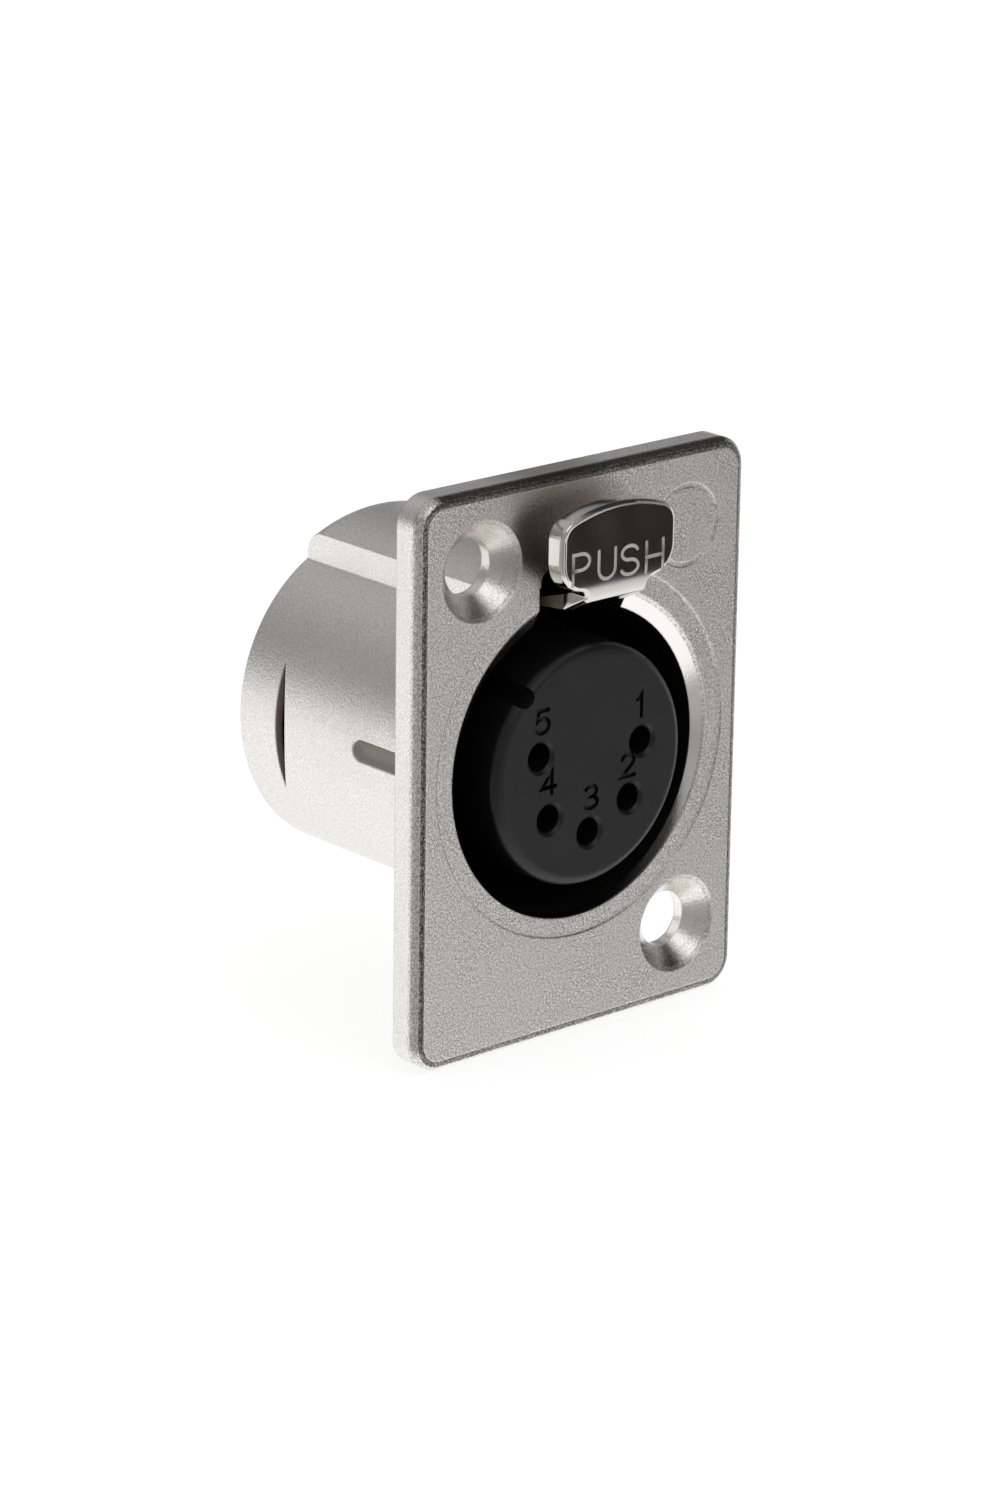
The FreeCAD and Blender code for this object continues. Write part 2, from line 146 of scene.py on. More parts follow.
def inCircle(tree, x, z, centre, radius):
    # 1 within a circle seen from the front
    side = calc(tree, "SUBTRACT", x, centre[0])
    lift = calc(tree, "SUBTRACT", z, centre[1])
    square = calc(tree, "MULTIPLY_ADD", lift, lift, calc(tree, "MULTIPLY", side, side))
    return calc(tree, "LESS_THAN", square, radius * radius)


# node groups that several finishes share

grainStyle = {"detail": 3.0, "roughness": 0.6}
cloudStyle = {"detail": 4.0, "roughness": 0.5, "spread": (0.3, 0.7)}


def makeGroup(name, inputs, outputs):
    group = bpy.data.node_groups.new(name, "ShaderNodeTree")
    for label, kind, value in inputs:
        socket = group.interface.new_socket(label, in_out="INPUT", socket_type=kind)
        socket.default_value = value
        socket.hide_value = kind == "NodeSocketVector"
    for label, kind in outputs:
        group.interface.new_socket(label, in_out="OUTPUT", socket_type=kind)
    return group, group.nodes.new("NodeGroupInput"), group.nodes.new("NodeGroupOutput")


def objectNoise(tree, scale, style):
    coordinates = addNode(tree, "ShaderNodeTexCoord")
    noise = addNode(tree, "ShaderNodeTexNoise")
    link(tree, coordinates.outputs["Object"], noise.inputs["Vector"])
    link(tree, scale, noise.inputs["Scale"])
    noise.inputs["Detail"].default_value = style["detail"]
    noise.inputs["Roughness"].default_value = style["roughness"]
    return noise.outputs["Fac"]


def makeGrainGroup():
    # fine speckle of a casting or moulding, with its bumped normal
    group, start, end = makeGroup(
        "grain",
        [
            ("Scale", "NodeSocketFloat", 3000.0),
            ("Strength", "NodeSocketFloat", 0.2),
            ("Distance", "NodeSocketFloat", 0.00003),
            ("Normal", "NodeSocketVector", (0, 0, 0)),
        ],
        [("Value", "NodeSocketFloat"), ("Normal", "NodeSocketVector")],
    )
    speckle = objectNoise(group, start.outputs["Scale"], grainStyle)
    bump = addNode(group, "ShaderNodeBump")
    for label in ("Strength", "Distance", "Normal"):
        link(group, start.outputs[label], bump.inputs[label])
    link(group, speckle, bump.inputs["Height"])
    link(group, speckle, end.inputs["Value"])
    link(group, bump.outputs["Normal"], end.inputs["Normal"])
    return group


def makeCloudGroup():
    # soft handling marks: a value that drifts between two limits over some millimetres
    group, start, end = makeGroup(
        "clouding",
        [
            ("Scale", "NodeSocketFloat", 300.0),
            ("Low", "NodeSocketFloat", 0.2),
            ("High", "NodeSocketFloat", 0.3),
        ],
        [("Value", "NodeSocketFloat")],
    )
    noise = objectNoise(group, start.outputs["Scale"], cloudStyle)
    limits = (start.outputs["Low"], start.outputs["High"])
    link(group, remap(group, noise, cloudStyle["spread"], limits), end.inputs["Value"])
    return group


grainGroup = makeGrainGroup()
cloudGroup = makeCloudGroup()


def grainIn(tree, scale, strength, distance):
    grain = addNode(tree, "ShaderNodeGroup", node_tree=grainGroup)
    feed(tree, grain.inputs["Scale"], scale)
    feed(tree, grain.inputs["Strength"], strength)
    feed(tree, grain.inputs["Distance"], distance)
    return grain


def cloudIn(tree, scale, low, high):
    cloud = addNode(tree, "ShaderNodeGroup", node_tree=cloudGroup)
    feed(tree, cloud.inputs["Scale"], scale)
    feed(tree, cloud.inputs["Low"], low)
    feed(tree, cloud.inputs["High"], high)
    return cloud.outputs["Value"]


# satin nickel on the die casting, with the bore coated black, and the latch channel and the slot
# painted black as painted shade

castFinish = {
    # speckled plate; the flange's front is painted darker, as painted shade on that face
    "lightColor": (1.0, 0.97, 0.935, 1),
    "darkColor": (0.80, 0.77, 0.735, 1),
    "frontShadeColor": (0.54, 0.515, 0.485, 1),
    "frontShadeTo": -0.0013,
    "speckleRange": (0.38, 0.62),
    "grainScale": 7600.0,
    "grainDepth": 0.000028,
    "cloudScale": 250.0,
    "roughness": (0.25, 0.31),
    "edgeRadius": 0.00014,
    "edgeSamples": 6,
    # the flange, its front rim and the painted dark reflection in patches at the rim's foot, by
    # angle from the side
    "flangeHalf": (0.013, 0.01775),
    "flangeCorner": 0.0019,
    "flangeFront": -0.0021,
    "rimRadius": 0.00074,
    "rimRoughness": 0.12,
    "rimShineTo": 1.3,
    "rimPaintedReflection": (0.98, 1.44),
    "rimPaintedReflectionShare": 1.0,
    "rimPaintedReflectionPatch": -0.42,
    "rimPaintedReflectionColor": (0.075, 0.06, 0.055, 1),
    # mouth cone and countersinks: centre, radius, how clean, how much grain
    "turnedColor": (0.98, 0.945, 0.91, 1),
    "turnedRoughness": 0.17,
    "recessDepth": (-0.00185, -0.0001),
    "recesses": [
        ((0, 0), 0.0114, 1.0, 0.3),
        ((-0.0082, 0.0128), 0.0037, 0.6, 0.7),
        ((0.0082, -0.0128), 0.0037, 0.6, 0.7),
    ],
    # painted shade round the latch
    "latchShadeColor": (0.34, 0.295, 0.255, 1),
    "latchShadePlace": (-0.0022, 0.0, 0.0149),
    "latchShadeReach": (0.0029, 0.0060),
    "latchShadeShare": 0.75,
    # notches and grooves in the barrel's sides: a duller finish, with painted shade in their colour
    "recessShadeColor": (0.36, 0.32, 0.285, 1),
    "dullMetallic": 0.35,
    "dullRoughness": 0.45,
    "notch": {"y": (0.01353, 0.01452), "z": (-0.006, 0.006)},
    "groove": {"y": (0.00005, 0.0075), "z": (-0.001, 0.0012)},
    "sideFrom": 0.0094,
    "barrelAxisZ": -0.0004,
    "barrelRadius": 0.01024,
    # black coat in the bore; the same black in the channel and in the slot through the flange is
    # painted shade
    "coatAndShadeColor": (0.008, 0.0075, 0.007, 1),
    "coatRoughness": 0.42,
    "boreAxisZ": -0.0006,
    "boreRadius": 0.00975,
    "boreDepth": (-0.00135, 0.0181),
    "channelHalf": 0.00358,
    "channelLow": 0.007,
    "channelRadius": 0.01137,
    "channelDepth": (-0.00204, 0.0166),
    "slotTop": 0.01205,
    "slotDepth": (-0.00204, -0.00005),
}


def coatAndShadeMask(tree, x, y, z):
    # 1 in the bore's black coat and in the latch channel and slot, where the black is painted
    # shade; 0 on the bare metal
    look = castFinish
    bore = allOf(
        tree,
        inCircle(tree, x, z, (0, look["boreAxisZ"]), look["boreRadius"]),
        between(tree, y, *look["boreDepth"]),
    )
    arch = allOf(
        tree,
        inCircle(tree, x, z, (0, look["barrelAxisZ"]), look["channelRadius"]),
        between(tree, y, *look["channelDepth"]),
    )
    slot = allOf(
        tree,
        calc(tree, "LESS_THAN", z, look["slotTop"]),
        between(tree, y, *look["slotDepth"]),
    )
    # painted shade: the channel and the slot through the flange are painted black
    channel = allOf(
        tree,
        between(tree, x, -look["channelHalf"], look["channelHalf"]),
        calc(tree, "GREATER_THAN", z, look["channelLow"]),
        calc(tree, "MAXIMUM", arch, slot),
    )
    return calc(tree, "MAXIMUM", bore, channel)


def turnedMasks(tree, x, y, z):
    # the mouth's cone and the countersinks: where they are, how clean, and the grain that is left
    inside = between(tree, y, *castFinish["recessDepth"])
    turned, clean, grainLeft = 0.0, 0.0, 1.0
    for centre, radius, cleanShare, grainShare in castFinish["recesses"]:
        here = allOf(tree, inCircle(tree, x, z, centre, radius), inside)
        turned = calc(tree, "MAXIMUM", turned, here)
        clean = calc(tree, "MAXIMUM", clean, calc(tree, "MULTIPLY", here, cleanShare))
        grainLeft = calc(tree, "MULTIPLY_ADD", here, grainShare - 1.0, grainLeft)
    return turned, clean, grainLeft


def dullShadedMask(tree, x, y, z):
    # the notches and grooves lie below the barrel's surface; their colour is painted darker there,
    # as painted shade in the recesses
    cut = 0.0
    for name in ("notch", "groove"):
        along = between(tree, y, *castFinish[name]["y"])
        across = between(tree, z, *castFinish[name]["z"])
        cut = calc(tree, "MAXIMUM", cut, allOf(tree, along, across))
    beside = calc(tree, "GREATER_THAN", calc(tree, "ABSOLUTE", x), castFinish["sideFrom"])
    axis = (0, castFinish["barrelAxisZ"])
    return allOf(tree, cut, beside, inCircle(tree, x, z, axis, castFinish["barrelRadius"]))


def latchShadeMask(tree, position):
    # painted shade: the plating is painted darker and browner round the latch, fading with distance
    # from it
    away = vectorValue(tree, "DISTANCE", position, castFinish["latchShadePlace"])
    return remap(tree, away, castFinish["latchShadeReach"], (castFinish["latchShadeShare"], 0.0), smooth=True)


def edgeNormal(tree, position, y):
    # soft edges everywhere and a full round on the flange's front rim, with the rim's two masks:
    # its shine and its painted dark reflection
    corner, rim = castFinish["flangeCorner"], castFinish["rimRadius"]
    eighthTurn = math.pi / 4
    leastTurn = 0.001  # at 0 the barrel's normals would have no length
    bevel = addNode(tree, "ShaderNodeBevel", samples=castFinish["edgeSamples"])
    bevel.inputs["Radius"].default_value = castFinish["edgeRadius"]

    # how far a point lies in from the flange's outline and back from its front
    flat = vectorCalc(tree, "MULTIPLY", position, (1, 0, 1))
    core = (castFinish["flangeHalf"][0] - corner, 0, castFinish["flangeHalf"][1] - corner)
    over = vectorCalc(tree, "SUBTRACT", vectorCalc(tree, "ABSOLUTE", flat), core)
    over = vectorCalc(tree, "MAXIMUM", over, (0, 0, 0))
    inward = calc(tree, "SUBTRACT", corner, vectorValue(tree, "LENGTH", over))
    depth = calc(tree, "SUBTRACT", y, castFinish["flangeFront"])
    nearOutline = calc(tree, "LESS_THAN", inward, rim)
    inRim = allOf(tree, nearOutline, calc(tree, "LESS_THAN", depth, rim))

    # the normal turns from sideways at the flange's side to forward at its front
    step = calc(tree, "SUBTRACT", inward, depth)
    turn = calc(tree, "MULTIPLY_ADD", step, eighthTurn / rim, eighthTurn)
    turn = calc(tree, "MAXIMUM", turn, leastTurn)
    turn = calc(tree, "MINIMUM", turn, 2 * eighthTurn)
    outward = vectorCalc(tree, "NORMALIZE", over)
    outward = vectorCalc(tree, "MULTIPLY", outward, vectorCalc(tree, "SIGN", flat))
    side = scaledVector(tree, outward, calc(tree, "COSINE", turn))
    ahead = scaledVector(tree, (0, -1, 0), calc(tree, "SINE", turn))
    rounded = addNode(
        tree, "ShaderNodeVectorTransform",
        vector_type="NORMAL", convert_from="OBJECT", convert_to="WORLD",
    )
    link(tree, vectorCalc(tree, "ADD", side, ahead), rounded.inputs["Vector"])
    normal = blend(tree, "VECTOR", inRim, bevel.outputs["Normal"], rounded.outputs["Vector"])
    shine = allOf(tree, inRim, calc(tree, "LESS_THAN", turn, castFinish["rimShineTo"]))
    # painted reflection: the part of the rim's turn that gets a dark colour
    paintedReflection = allOf(tree, inRim, between(tree, turn, *castFinish["rimPaintedReflection"]))
    return normal, shine, paintedReflection


def makeCastNickel():
    look = castFinish
    material, tree, shader = newMaterial("castNickel")
    position = addNode(tree, "ShaderNodeTexCoord").outputs["Object"]
    split = addNode(tree, "ShaderNodeSeparateXYZ")
    link(tree, position, split.inputs["Vector"])
    x, y, z = (split.outputs[axis] for axis in "XYZ")

    turned, clean, grainLeft = turnedMasks(tree, x, y, z)
    normal, rimShine, rimPaintedReflection = edgeNormal(tree, position, y)
    dullShaded = dullShadedMask(tree, x, y, z)
    coatAndShade = coatAndShadeMask(tree, x, y, z)
    grain = grainIn(tree, look["grainScale"], grainLeft, look["grainDepth"])
    link(tree, normal, grain.inputs["Normal"])
    link(tree, grain.outputs["Normal"], shader.inputs["Normal"])

    speckle = remap(tree, grain.outputs["Value"], look["speckleRange"], (0.0, 1.0))
    # painted shade: the flange's front gets a darker colour than the rest of the plate
    front = calc(tree, "LESS_THAN", y, look["frontShadeTo"])
    dark = blendColor(tree, front, look["darkColor"], look["frontShadeColor"])
    color = blendColor(tree, speckle, dark, look["lightColor"])
    reflectionPatches = calc(tree, "MULTIPLY_ADD", speckle, look["rimPaintedReflectionPatch"], look["rimPaintedReflectionShare"])
    for mask, colorName in (
        (clean, "turnedColor"),
        # painted shade round the latch
        (latchShadeMask(tree, position), "latchShadeColor"),
        # painted reflection: dark patches on the rim's foot, broken up by the speckle
        (allOf(tree, rimPaintedReflection, reflectionPatches), "rimPaintedReflectionColor"),
        # painted shade in the notches and grooves
        (dullShaded, "recessShadeColor"),
        # black coat in the bore, and painted shade as black in the channel and slot
        (coatAndShade, "coatAndShadeColor"),
    ):
        color = blendColor(tree, mask, color, look[colorName])
    link(tree, color, shader.inputs["Base Color"])

    rough = cloudIn(tree, look["cloudScale"], *look["roughness"])
    for mask, roughName in (
        (rimShine, "rimRoughness"),
        (turned, "turnedRoughness"),
        (dullShaded, "dullRoughness"),
        (coatAndShade, "coatRoughness"),
    ):
        change = calc(tree, "SUBTRACT", look[roughName], rough)
        rough = calc(tree, "MULTIPLY_ADD", mask, change, rough)
    link(tree, rough, shader.inputs["Roughness"])

    bare = calc(tree, "SUBTRACT", 1.0, coatAndShade)
    plated = calc(tree, "MULTIPLY_ADD", dullShaded, look["dullMetallic"] - 1.0, 1.0)
    link(tree, allOf(tree, bare, plated), shader.inputs["Metallic"])
    return material


nodes["housing"].data.materials.clear()
nodes["housing"].data.materials.append(makeCastNickel())
print("housing: satin nickel with black bore")


# other finishes: colour drifts to the tint; grain is scale, strength and depth

finishScales = {"tint": 700.0, "roughness": 400.0}

finishes = {
    "polishedNickel": {
        "color": (0.80, 0.775, 0.745, 1), "tint": (0.74, 0.71, 0.68, 1), "metallic": 1.0,
        "roughness": (0.10, 0.15), "grain": (1500.0, 0.4, 0.000004),
    },
    "engravedNickel": {
        "color": (0.82, 0.80, 0.77, 1), "tint": (0.70, 0.68, 0.65, 1), "metallic": 0.3,
        "roughness": (0.55, 0.65), "grain": (9000.0, 0.7, 0.00002),
    },
    "stampedNickel": {
        "color": (0.33, 0.28, 0.235, 1), "tint": (0.15, 0.125, 0.10, 1), "metallic": 0.15,
        "roughness": (0.45, 0.6), "grain": (5000.0, 0.8, 0.00003),
    },
    "blackPlastic": {
        "color": (0.0045, 0.0045, 0.0053, 1), "tint": (0.003, 0.003, 0.0036, 1), "metallic": 0.0,
        "roughness": (0.36, 0.44), "grain": (6000.0, 0.5, 0.00001),
    },
    "engravedPlastic": {
        "color": (0.005, 0.005, 0.005, 1), "tint": (0.003, 0.003, 0.003, 1), "metallic": 0.0,
        "roughness": (0.40, 0.5), "grain": (6000.0, 0.5, 0.00001),
    },
    "goldFlash": {
        "color": (0.83, 0.66, 0.34, 1), "tint": (0.74, 0.57, 0.28, 1), "metallic": 1.0,
        "roughness": (0.22, 0.32), "grain": (4000.0, 0.4, 0.000008),
    },
    "springSteel": {
        "color": (0.62, 0.62, 0.62, 1), "tint": (0.52, 0.52, 0.53, 1), "metallic": 1.0,
        "roughness": (0.2, 0.3), "grain": (3500.0, 0.5, 0.000008),
    },
}


def makeFinish(name):
    look = finishes[name]
    material, tree, shader = newMaterial(name)
    shader.inputs["Metallic"].default_value = look["metallic"]
    drift = cloudIn(tree, finishScales["tint"], 0.0, 1.0)
    rough = cloudIn(tree, finishScales["roughness"], *look["roughness"])
    link(tree, blendColor(tree, drift, look["color"], look["tint"]), shader.inputs["Base Color"])
    link(tree, rough, shader.inputs["Roughness"])
    grain = grainIn(tree, *look["grain"])
    geometry = addNode(tree, "ShaderNodeNewGeometry")
    link(tree, geometry.outputs["Normal"], grain.inputs["Normal"])
    link(tree, grain.outputs["Normal"], shader.inputs["Normal"])
    return material


materials = {name: makeFinish(name) for name in finishes}

finishedNodes = {
    "polishedNickel": ["push_latch"],
    "blackPlastic": ["contact_carrier", "contact_clamp"],
    "goldFlash": ["contact_1", "contact_2", "contact_3", "contact_4", "contact_5"],
    "springSteel": ["latch_guide_pin", "latch_spring", "earth_contact", "snap_ring"],
}
for finishName, nodeNames in finishedNodes.items():
    for nodeName in nodeNames:
        nodes[nodeName].data.materials.clear()
        nodes[nodeName].data.materials.append(materials[finishName])
print("finishes on the other nodes")


# engraved signs: strokes in a box of width 1 and height 1

def bend(centreX, centreY, radiusX, radiusY, fromAngle, toAngle, steps=9):
    angles = [
        math.radians(fromAngle + (toAngle - fromAngle) * step / steps)
        for step in range(steps + 1)
    ]
    return [
        (centreX + radiusX * math.cos(angle), centreY + radiusY * math.sin(angle))
        for angle in angles
    ]


bowlOfP = bend(0.5, 0.74, 0.5, 0.26, 80, -80)
archOf3 = bend(0.48, 0.75, 0.42, 0.25, 150, -90, 12)

signs = {
    "P": [[(0, 0), (0, 1), (0.5, 1)] + bowlOfP + [(0.5, 0.48), (0, 0.48)]],
    "U": [[(0, 1)] + bend(0.5, 0.36, 0.5, 0.36, 180, 360, 14) + [(1, 1)]],
    "S": [bend(0.5, 0.755, 0.46, 0.245, 20, 250, 14) + bend(0.5, 0.26, 0.5, 0.26, 75, -160, 14)],
    "H": [[(0, 0), (0, 1)], [(1, 0), (1, 1)], [(0, 0.5), (1, 0.5)]],
    "1": [[(0.25, 0.78), (0.58, 1), (0.58, 0)]],
    "2": [bend(0.5, 0.72, 0.45, 0.28, 165, -35, 12) + [(0.05, 0), (1, 0)]],
    "3": [archOf3 + bend(0.48, 0.25, 0.5, 0.25, 90, -150, 12)[1:]],
    "4": [[(0.72, 0), (0.72, 1), (0, 0.3), (1, 0.3)]],
    "5": [[(0.9, 1), (0.2, 1), (0.12, 0.56)] + bend(0.45, 0.33, 0.5, 0.33, 115, -145, 14)],
}

# how the cuts are made; lengths in millimetres, angles in degrees
engraving = {
    "capSteps": 5,
    "mitreLimit": 0.35,
    "cutterAhead": 0.5,
    "mergeDistance": 0.0005,
    "sharpAngle": 32,
    "flatAngle": 0.15,
}


def ribbonOutline(points, half):
    # outline of a stroke of even width with round ends
    points = [Vector(point) for point in points]
    runs = [(after - before).normalized() for before, after in zip(points, points[1:])]
    left, right = [], []
    for index, point in enumerate(points):
        before = runs[max(index - 1, 0)]
        after = runs[min(index, len(runs) - 1)]
        middle = (before + after).normalized()
        reach = half / max(middle.dot(after), engraving["mitreLimit"])
        side = Vector((-middle.y, middle.x)) * reach
        left.append(point + side)
        right.append(point - side)

    def cap(point, run):
        start = math.atan2(run.y, run.x) + math.pi / 2
        steps = engraving["capSteps"]
        angles = [start - math.pi * step / steps for step in range(1, steps)]
        return [point + Vector((math.cos(angle), math.sin(angle))) * half for angle in angles]

    return left + cap(points[-1], runs[-1]) + right[::-1] + cap(points[0], -runs[0])


def addPrism(form, outline, front, back):
    near = [form.verts.new((point.x, front, point.y)) for point in outline]
    far = [form.verts.new((point.x, back, point.y)) for point in outline]
    form.faces.new(near)
    form.faces.new(far[::-1])
    for index in range(len(outline)):
        after = (index + 1) % len(outline)
        form.faces.new((near[after], near[index], far[index], far[after]))


def flatAreas(form):
    # for each face, the area of the flat patch that it belongs to
    form.faces.ensure_lookup_table()
    level = math.cos(math.radians(engraving["flatAngle"]))
    areas = [0.0] * len(form.faces)
    for face in form.faces:
        if areas[face.index]:
            continue
        members, front = {face.index}, [face]
        while front:
            for edge in front.pop().edges:
                for other in edge.link_faces:
                    if other.index not in members and other.normal.dot(face.normal) > level:
                        members.add(other.index)
                        front.append(other)
        area = sum(form.faces[index].calc_area() for index in members)
        for index in members:
            areas[index] = area
    return areas


def evenNormals(mesh):
    # large flat faces keep their own normal up to their rims, and small facets blend round them
    form = bmesh.new()
    form.from_mesh(mesh)
    areas = flatAreas(form)
    soft = math.cos(math.radians(engraving["sharpAngle"]))
    normals = [None] * len(mesh.loops)
    for face in form.faces:
        for corner in face.loops:
            total = Vector((0, 0, 0))
            for other in corner.vert.link_faces:
                sameFinish = other.material_index == face.material_index
                if sameFinish and other.normal.dot(face.normal) > soft:
                    total += other.normal * areas[other.index] ** 2
            normals[corner.index] = total.normalized()
    form.free()
    mesh.shade_smooth()
    mesh.normals_split_custom_set(normals)


def copyInMillimetres(nodeName, pieceName):
    mesh = nodes[nodeName].data.copy()
    mesh.name = pieceName
    for layer in ("custom_normal", "sharp_edge", "sharp_face"):
        if layer in mesh.attributes:
            mesh.attributes.remove(mesh.attributes[layer])
    form = bmesh.new()
    form.from_mesh(mesh)
    bmesh.ops.transform(form, matrix=Matrix.Scale(1 / millimetre, 4), verts=form.verts)
    bmesh.ops.remove_doubles(form, verts=form.verts, dist=engraving["mergeDistance"])
    form.to_mesh(mesh)
    form.free()
    return addObject(pieceName, mesh)


def makeCutter(style):
    # one prism for each stroke of the signs
    form = bmesh.new()
    front = style["face"] - engraving["cutterAhead"]
    back = style["face"] + style["depth"]
    for sign, left, low, width, height in style["signs"]:
        for stroke in signs[sign]:
            points = [(left + width * x, low + height * z) for x, z in stroke]
            addPrism(form, ribbonOutline(points, style["strokeHalf"]), front, back)
    bmesh.ops.recalc_face_normals(form, faces=form.faces)
    mesh = bpy.data.meshes.new("cutter")
    form.to_mesh(mesh)
    form.free()
    mesh.materials.append(materials[style["cutFinish"]])
    return addObject("cutter", mesh)


def engravedCopy(style):
    # a copy of the CAD solid with the signs cut into its front
    piece = copyInMillimetres(style["node"], style["piece"])
    cutter = makeCutter(style)
    cut = piece.modifiers.new("cut", "BOOLEAN")
    cut.operation = "DIFFERENCE"
    cut.solver = "EXACT"
    cut.use_self = True
    cut.material_mode = "TRANSFER"
    cut.object = cutter
    bpy.context.view_layer.update()
    evaluated = piece.evaluated_get(bpy.context.evaluated_depsgraph_get())
    result = bpy.data.meshes.new_from_object(evaluated)
    piece.modifiers.clear()
    piece.data = result
    bpy.data.objects.remove(cutter)
    result.validate()
    evenNormals(result)
    result.transform(Matrix.Scale(millimetre, 4))
    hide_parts(style["node"])
    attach(piece, style["body"])
    return piece


# push latch and contact insert: places, depths and strokes of the signs in millimetres

latchStyle = {
    "node": "push_latch",
    "piece": "pushLatch",
    "body": "latch",
    "slot": "latch_metal",
    "cutFinish": "engravedNickel",
    "face": -5.05,
    "depth": 0.08,
    "strokeHalf": 0.11,
    "signs": [
        ("P", -3.70, 11.76, 1.30, 1.89),
        ("U", -1.66, 11.78, 1.32, 1.78),
        ("S", 0.13, 11.72, 1.38, 1.76),
        ("H", 2.16, 11.58, 1.34, 1.88),
    ],
    "shearedFinish": "stampedNickel",
    "shearedFrom": -0.0029,
    "shearedTilt": 0.9,
}

insertStyle = {
    "node": "contact_carrier",
    "piece": "contactInsert",
    "body": "socket",
    "slot": "insert_plastic",
    "cutFinish": "engravedPlastic",
    "face": -2.9,
    "depth": 0.25,
    "strokeHalf": 0.14,
    "signs": [
        ("1", 3.48, 1.74, 1.0, 1.4),
        ("2", 2.49, -1.88, 1.1, 1.4),
        ("3", -0.5, -3.29, 1.1, 1.4),
        ("4", -3.94, -1.68, 1.1, 1.4),
        ("5", -4.5, 2.26, 1.1, 1.4),
    ],
}


def finishSheared(piece, style):
    # the sheared sides of the strip, from a plane on, are duller than its faces
    form = bmesh.new()
    form.from_mesh(piece.data)
    everything = form.verts[:] + form.edges[:] + form.faces[:]
    plane = (0, style["shearedFrom"], 0)
    bmesh.ops.bisect_plane(form, geom=everything, plane_co=plane, plane_no=(0, 1, 0))
    piece.data.materials.append(materials[style["shearedFinish"]])
    for face in form.faces:
        isSide = abs(face.normal.x) > style["shearedTilt"]
        if isSide and face.calc_center_median().y > style["shearedFrom"]:
            face.material_index = len(piece.data.materials) - 1
    form.to_mesh(piece.data)
    form.free()


latchPiece = engravedCopy(latchStyle)
insertPiece = engravedCopy(insertStyle)
finishSheared(latchPiece, latchStyle)
print("engraving done: latch", len(latchPiece.data.polygons), "faces,",
      "insert", len(insertPiece.data.polygons), "faces")


# the spring behind the latch: a copy of the CAD node with its placement baked in

springStyle = {"node": "latch_spring", "piece": "latchSpring", "slot": "spring_steel"}


def makeSpring(style):
    spring = addObject(style["piece"], nodes[style["node"]].data.copy())
    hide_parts(style["node"])
    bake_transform(spring)


makeSpring(springStyle)


# stage, light and camera

stage = {
    "floorZ": -0.01777,
    "floorHalf": 1.5,
    "floorColor": (0.38, 0.38, 0.38, 1),
    "floorRoughness": 0.9,
    "floorGlow": 0.75,
    "plainLevel": 0.6,
    "lampPlace": (0.1, -0.1, 0.42),
    "lampSize": 0.9,
    "lampRadiance": 0.45,
}

# the fitted view: metres, degrees and pixels of a picture 1000 wide
view = {
    "place": (-0.202645, -0.222434, 0.097835),
    "azimuth": -41.658,
    "elevation": 18.080,
    "roll": 0.816,
    "focusPixels": 5233.5,
    "pictureWidth": 1000.0,
    "sensorWidth": 36.0,
    "clipStart": 0.01,
}

# what the metal mirrors, as height of the direction and level: floor, room and ceiling
room = [(-0.06, 1.0), (0.10, 0.31), (0.45, 0.27), (0.72, 0.47), (1.0, 0.42)]

# flags and soft boxes round the object: direction, half width in degrees, soft rim, level
cards = [
    ((-0.95, 0.05, -0.31), 26.0, 5.0, 0.42),
    ((-0.71, -0.63, -0.31), 28.0, 6.0, 0.38),
    ((-0.71, -0.63, 0.0), 18.0, 6.0, 0.30),
    ((-0.71, -0.63, 0.31), 17.0, 6.0, 0.34),
    ((0.14, -0.94, -0.31), 14.0, 3.0, 0.0),
    ((0.823, -0.514, -0.242), 15.0, 3.0, 0.60),
    ((0.468, -0.879, -0.087), 14.5, 3.0, 1.10),
    ((0.695, -0.695, -0.182), 12.0, 2.5, 0.02),
    ((0.64, 0.30, 0.70), 17.0, 8.0, 0.03),
    ((0.66, 0.0, 0.75), 17.0, 8.0, 0.03),
    ((0.63, -0.33, 0.70), 17.0, 8.0, 0.03),
    ((-0.2, -0.64, 0.74), 16.0, 5.0, 1.0),
]


def raysAre(tree, *kinds):
    # 1 for the named kinds of ray
    path = addNode(tree, "ShaderNodeLightPath")
    seen = path.outputs[kinds[0]]
    for kind in kinds[1:]:
        seen = calc(tree, "MAXIMUM", seen, path.outputs[kind])
    return seen


def makeFloor():
    # a pale floor that camera, glossy and see-through rays meet nearly white
    material, tree, shader = newMaterial("floorMaterial")
    shader.inputs["Base Color"].default_value = stage["floorColor"]
    shader.inputs["Roughness"].default_value = stage["floorRoughness"]
    shader.inputs["Specular IOR Level"].default_value = 0.0
    shader.inputs["Emission Color"].default_value = (1, 1, 1, 1)
    seen = raysAre(tree, "Is Camera Ray", "Is Glossy Ray", "Is Transmission Ray")
    glow = calc(tree, "MULTIPLY", seen, stage["floorGlow"])
    link(tree, glow, shader.inputs["Emission Strength"])

    half = stage["floorHalf"]
    places = ((-half, -half), (half, -half), (half, half), (-half, half))
    corners = [(x, y, stage["floorZ"]) for x, y in places]
    mesh = bpy.data.meshes.new("floor")
    mesh.from_pydata(corners, [], [(0, 1, 2, 3)])
    mesh.materials.append(material)
    floor = addObject("floor", mesh)
    floor.visible_glossy = False


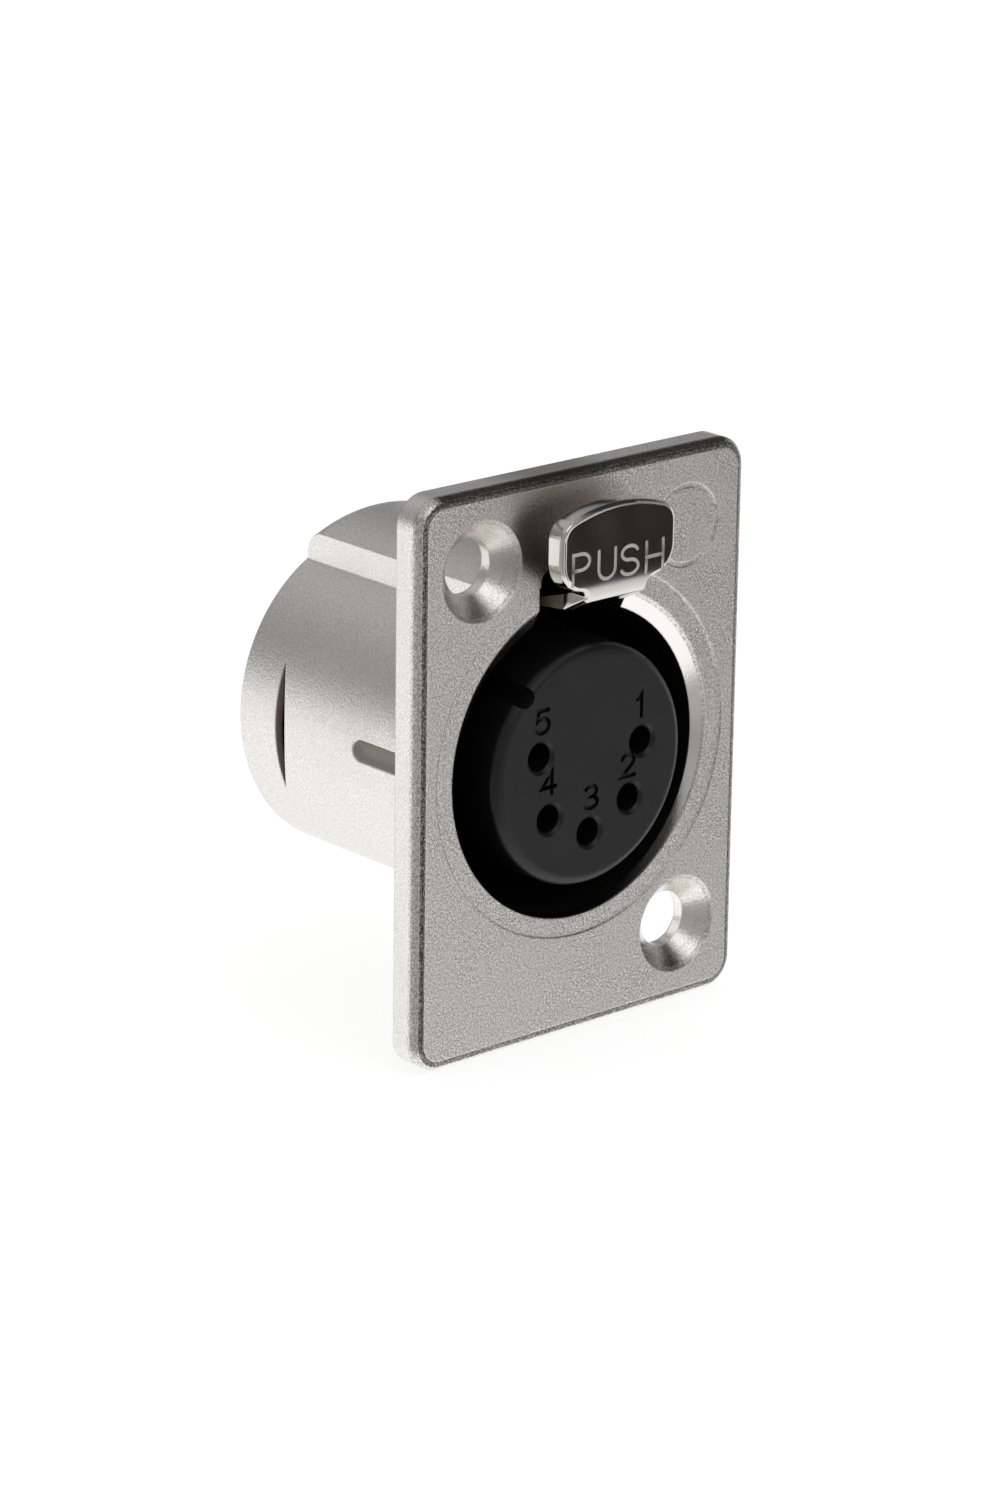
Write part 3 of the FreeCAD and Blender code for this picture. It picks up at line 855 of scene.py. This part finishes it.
def mirroredLevel(tree, direction):
    # the room's levels by height, with the cards over them
    split = addNode(tree, "ShaderNodeSeparateXYZ")
    link(tree, direction, split.inputs["Vector"])
    level = room[0][1]
    for (lowZ, lowLevel), (highZ, highLevel) in zip(room, room[1:]):
        rise = (0.0, highLevel - lowLevel)
        step = remap(tree, split.outputs["Z"], (lowZ, highZ), rise, smooth=True)
        level = calc(tree, "ADD", level, step)
    for toward, half, rim, brightness in cards:
        near = vectorValue(tree, "DOT_PRODUCT", direction, Vector(toward).normalized())
        edge = (math.cos(math.radians(half + rim)), math.cos(math.radians(half)))
        share = remap(tree, near, edge, (0.0, 1.0), smooth=True)
        change = calc(tree, "SUBTRACT", brightness, level)
        level = calc(tree, "MULTIPLY_ADD", change, share, level)
    return level


def makeWorld():
    # camera and see-through rays meet white, soft light comes from all sides at one level
    world = bpy.data.worlds.new("studio")
    bpy.context.scene.world = world
    world.use_nodes = True
    tree = world.node_tree
    background = tree.nodes["Background"]
    background.inputs["Color"].default_value = (1, 1, 1, 1)
    coordinates = addNode(tree, "ShaderNodeTexCoord")
    direction = vectorCalc(tree, "NORMALIZE", coordinates.outputs["Generated"])
    white = raysAre(tree, "Is Camera Ray", "Is Transmission Ray")
    plain = remap(tree, white, (0.0, 1.0), (stage["plainLevel"], 1.0))
    change = calc(tree, "SUBTRACT", mirroredLevel(tree, direction), plain)
    level = calc(tree, "MULTIPLY_ADD", change, raysAre(tree, "Is Glossy Ray"), plain)
    link(tree, level, background.inputs["Strength"])


def makeLamp():
    # a square soft box overhead; its power follows from how bright its face is
    size = stage["lampSize"]
    data = bpy.data.lights.new("overhead", "AREA")
    data.shape = "SQUARE"
    data.size = size
    data.energy = stage["lampRadiance"] * math.pi * size * size
    lamp = addObject("overhead", data)
    lamp.location = stage["lampPlace"]
    lamp.rotation_euler = (-lamp.location).to_track_quat("-Z", "Y").to_euler()
    lamp.visible_glossy = False


def makeCamera():
    azimuth = math.radians(view["azimuth"])
    elevation = math.radians(view["elevation"])
    roll = math.radians(view["roll"])
    back = Vector((
        math.sin(azimuth) * math.cos(elevation),
        -math.cos(azimuth) * math.cos(elevation),
        math.sin(elevation),
    ))
    right = Vector((math.cos(azimuth), math.sin(azimuth), 0))
    up = back.cross(right)
    tiltedRight = math.cos(roll) * right + math.sin(roll) * up
    tiltedUp = math.cos(roll) * up - math.sin(roll) * right
    data = bpy.data.cameras.new("camera")
    data.sensor_fit = "HORIZONTAL"
    data.sensor_width = view["sensorWidth"]
    data.lens = view["focusPixels"] * view["sensorWidth"] / view["pictureWidth"]
    data.clip_start = view["clipStart"]
    camera = addObject("camera", data)
    columns = Matrix((tiltedRight, tiltedUp, back)).transposed().to_4x4()
    camera.matrix_world = Matrix.Translation(view["place"]) @ columns
    bpy.context.scene.camera = camera


makeFloor()
makeWorld()
makeLamp()
makeCamera()
bpy.context.scene.view_settings.view_transform = "Standard"
print("stage, lamp and camera done")
